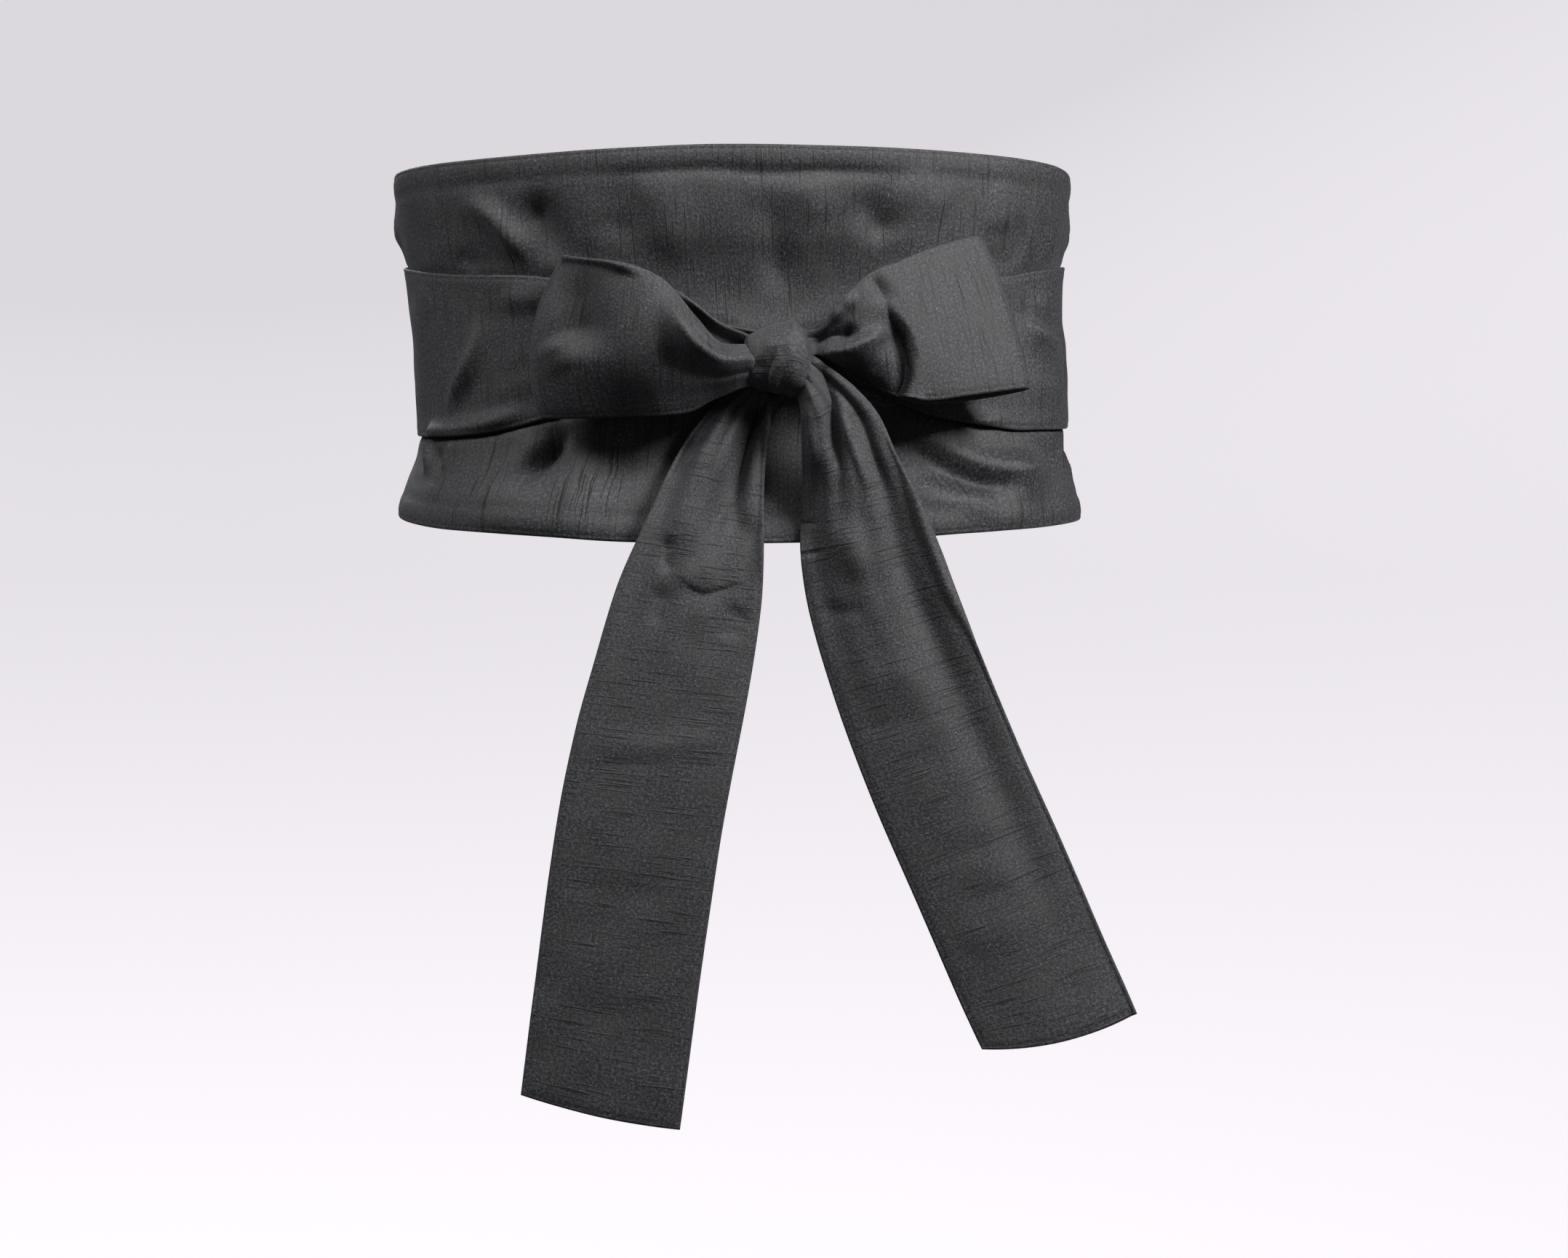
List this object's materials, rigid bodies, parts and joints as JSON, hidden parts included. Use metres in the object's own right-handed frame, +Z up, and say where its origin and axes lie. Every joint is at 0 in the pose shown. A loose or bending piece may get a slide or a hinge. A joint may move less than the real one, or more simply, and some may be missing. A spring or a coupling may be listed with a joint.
{
  "type": "obi belt",
  "caption": "Soft wrap-around waist belt with a wide shaped panel and long ties crossed at the back and tied in a bow at the front.",
  "frame": {"origin": "the middle of the wearer's waist, level with the middle of the wound ties at the sides", "axes": "+Z up, the wearer faces -Y, +X towards the wearer's left side, which is on the right in a view from the front"},
  "size_m": [0.2839, 0.2153, 0.3635],
  "materials": {
    "face_cloth": "charcoal black slubbed taffeta with a low silky sheen"
  },
  "bodies": {
    "root": {"panel": "face_cloth", "knot": "face_cloth", "tie_wound_left": "face_cloth", "tie_wound_right": "face_cloth", "loop_left": "face_cloth", "loop_right": "face_cloth", "tail_left": "face_cloth", "tail_right": "face_cloth"}
  },
  "joints": []
}
